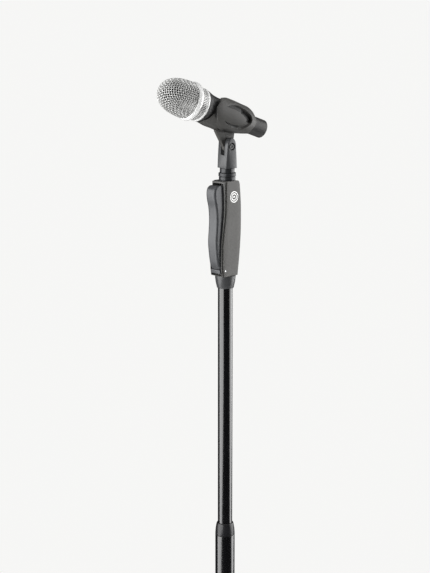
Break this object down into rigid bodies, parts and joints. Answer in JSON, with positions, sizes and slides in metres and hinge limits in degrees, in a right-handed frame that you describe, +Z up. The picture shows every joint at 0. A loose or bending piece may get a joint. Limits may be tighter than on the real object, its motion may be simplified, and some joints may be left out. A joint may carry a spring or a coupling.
{
  "type": "microphone stand",
  "caption": "Straight floor stand with a one-hand squeeze clutch, a swivelling clip and a hand-held microphone lying in it.",
  "frame": {"origin": "on the floor, under the middle of the round base", "axes": "+Z up the tube; the squeeze lever faces -Y; the microphone's head points to -Y, turned 9 degrees toward -X and raised 20 degrees"},
  "size_m": [0.25, 0.25, 1.5159],
  "materials": {
    "base_black": "fine textured black",
    "floor_rubber": "matt",
    "tube_black": "glossy black",
    "collar_black": "satin black",
    "plain_steel": "bright",
    "clutch_alloy": "machined",
    "bearing_nylon": "natural",
    "guide_plastic": "matt",
    "brake_lining": "matt",
    "cone_brass": "machined",
    "frame_black": "satin",
    "cover_grey": "satin",
    "badge_metal": "polished",
    "lever_grey": "satin",
    "dark_fittings": "satin",
    "yoke_plastic": "satin",
    "clip_rubber": "matt",
    "handle_grey": "matt",
    "ring_silver": "polished",
    "band_silver": "knurled",
    "grille_wire": "bright",
    "foam_black": "open foam",
    "capsule_metal": "satin",
    "mount_rubber": "matt",
    "contact_gold": "plated"
  },
  "bodies": {
    "base": {"base_plate": "base_black", "base_rubber_ring": "floor_rubber", "base_bolt": "plain_steel", "base_washer": "plain_steel", "foot_plug": "clutch_alloy", "foot_collar": "collar_black", "lower_tube": "tube_black", "coupling_collar": "collar_black", "guide_bush": "bearing_nylon"},
    "glide": {"glide_ring": "bearing_nylon"},
    "mast": {"upper_tube": "tube_black", "snap_ring": "plain_steel", "clutch_body": "clutch_alloy", "rod_guide": "guide_plastic", "return_spring": "plain_steel", "taper_sleeve": "collar_black", "housing_frame": "frame_black", "side_cover_right": "cover_grey", "side_cover_left": "cover_grey", "cover_screw_1": "plain_steel", "cover_screw_2": "plain_steel", "badge_disc": "badge_metal", "lever_pin": "plain_steel", "neck_stud": "dark_fittings"},
    "release_rod": {"release_rod": "plain_steel", "wedge_cone": "cone_brass", "rod_nut": "plain_steel", "rod_head": "plain_steel"},
    "brake_shoe_1": {"brake_shoe_1": "brake_lining"},
    "brake_shoe_2": {"brake_shoe_2": "brake_lining"},
    "brake_shoe_3": {"brake_shoe_3": "brake_lining"},
    "lever": {"lever_body": "lever_grey", "lever_pad": "lever_grey"},
    "lock_nut": {"lock_nut": "dark_fittings"},
    "yoke": {"yoke": "yoke_plastic", "thread_insert": "dark_fittings", "pivot_bolt": "dark_fittings", "pivot_nut": "dark_fittings", "pivot_washer_right": "plain_steel", "pivot_washer_left": "plain_steel"},
    "clip": {"clip_shell": "clip_rubber"},
    "microphone": {"mic_handle": "handle_grey", "connector_insert": "guide_plastic", "connector_contact_1": "contact_gold", "connector_contact_2": "contact_gold", "connector_contact_3": "contact_gold", "rear_ring": "ring_silver", "grip_band": "band_silver", "front_ring": "ring_silver", "grille": "grille_wire", "foam_liner": "foam_black", "capsule": "capsule_metal", "shock_mount": "mount_rubber"}
  },
  "joints": [
    {"name": "height_slide", "type": "slide", "parent": "base", "child": "glide", "axis": [0, 0, 1], "range_m": [-0.3, 0.3]},
    {"name": "mast_turn", "type": "hinge", "parent": "glide", "child": "mast", "pos_m": [0, 0, 0.44], "axis": [0, 0, 1], "continuous": true},
    {"name": "lever_squeeze", "type": "hinge", "parent": "mast", "child": "lever", "pos_m": [0, -0.0126, 1.2585], "axis": [-1, 0, 0], "range_deg": [0, 4.5], "stiffness_Nm_per_rad": 1.5, "springref_deg": -3.44},
    {"name": "rod_release", "type": "slide", "parent": "mast", "child": "release_rod", "axis": [0, 0, -1], "range_m": [0, 0.0011], "deforming": ["return_spring"]},
    {"name": "shoe_1_retract", "type": "slide", "parent": "mast", "child": "brake_shoe_1", "axis": [-1, 0, 0], "range_m": [0, 0.0005]},
    {"name": "shoe_2_retract", "type": "slide", "parent": "mast", "child": "brake_shoe_2", "axis": [0.5, -0.866, 0], "range_m": [0, 0.0005]},
    {"name": "shoe_3_retract", "type": "slide", "parent": "mast", "child": "brake_shoe_3", "axis": [0.5, 0.866, 0], "range_m": [0, 0.0005]},
    {"name": "lock_nut_spin", "type": "hinge", "parent": "mast", "child": "lock_nut", "pos_m": [0, 0.0032, 1.386], "axis": [0, 0, 1], "continuous": true},
    {"name": "clip_turn", "type": "hinge", "parent": "mast", "child": "yoke", "pos_m": [0, 0.0032, 1.4], "axis": [0, 0, 1], "continuous": true},
    {"name": "clip_tilt", "type": "hinge", "parent": "yoke", "child": "clip", "pos_m": [0, 0.0032, 1.4234], "axis": [0.9877, -0.1564, 0], "range_deg": [-70, 75]},
    {"name": "microphone_slide", "type": "slide", "parent": "clip", "child": "microphone", "axis": [-0.147, -0.9281, 0.342], "range_m": [0, 0.105]}
  ],
  "couplings": [
    {"joint": "rod_release", "follows": "lever_squeeze", "m_per_rad": 0.0126},
    {"joint": "shoe_1_retract", "follows": "lever_squeeze", "m_per_rad": 0.0043},
    {"joint": "shoe_2_retract", "follows": "lever_squeeze", "m_per_rad": 0.0043},
    {"joint": "shoe_3_retract", "follows": "lever_squeeze", "m_per_rad": 0.0043}
  ]
}
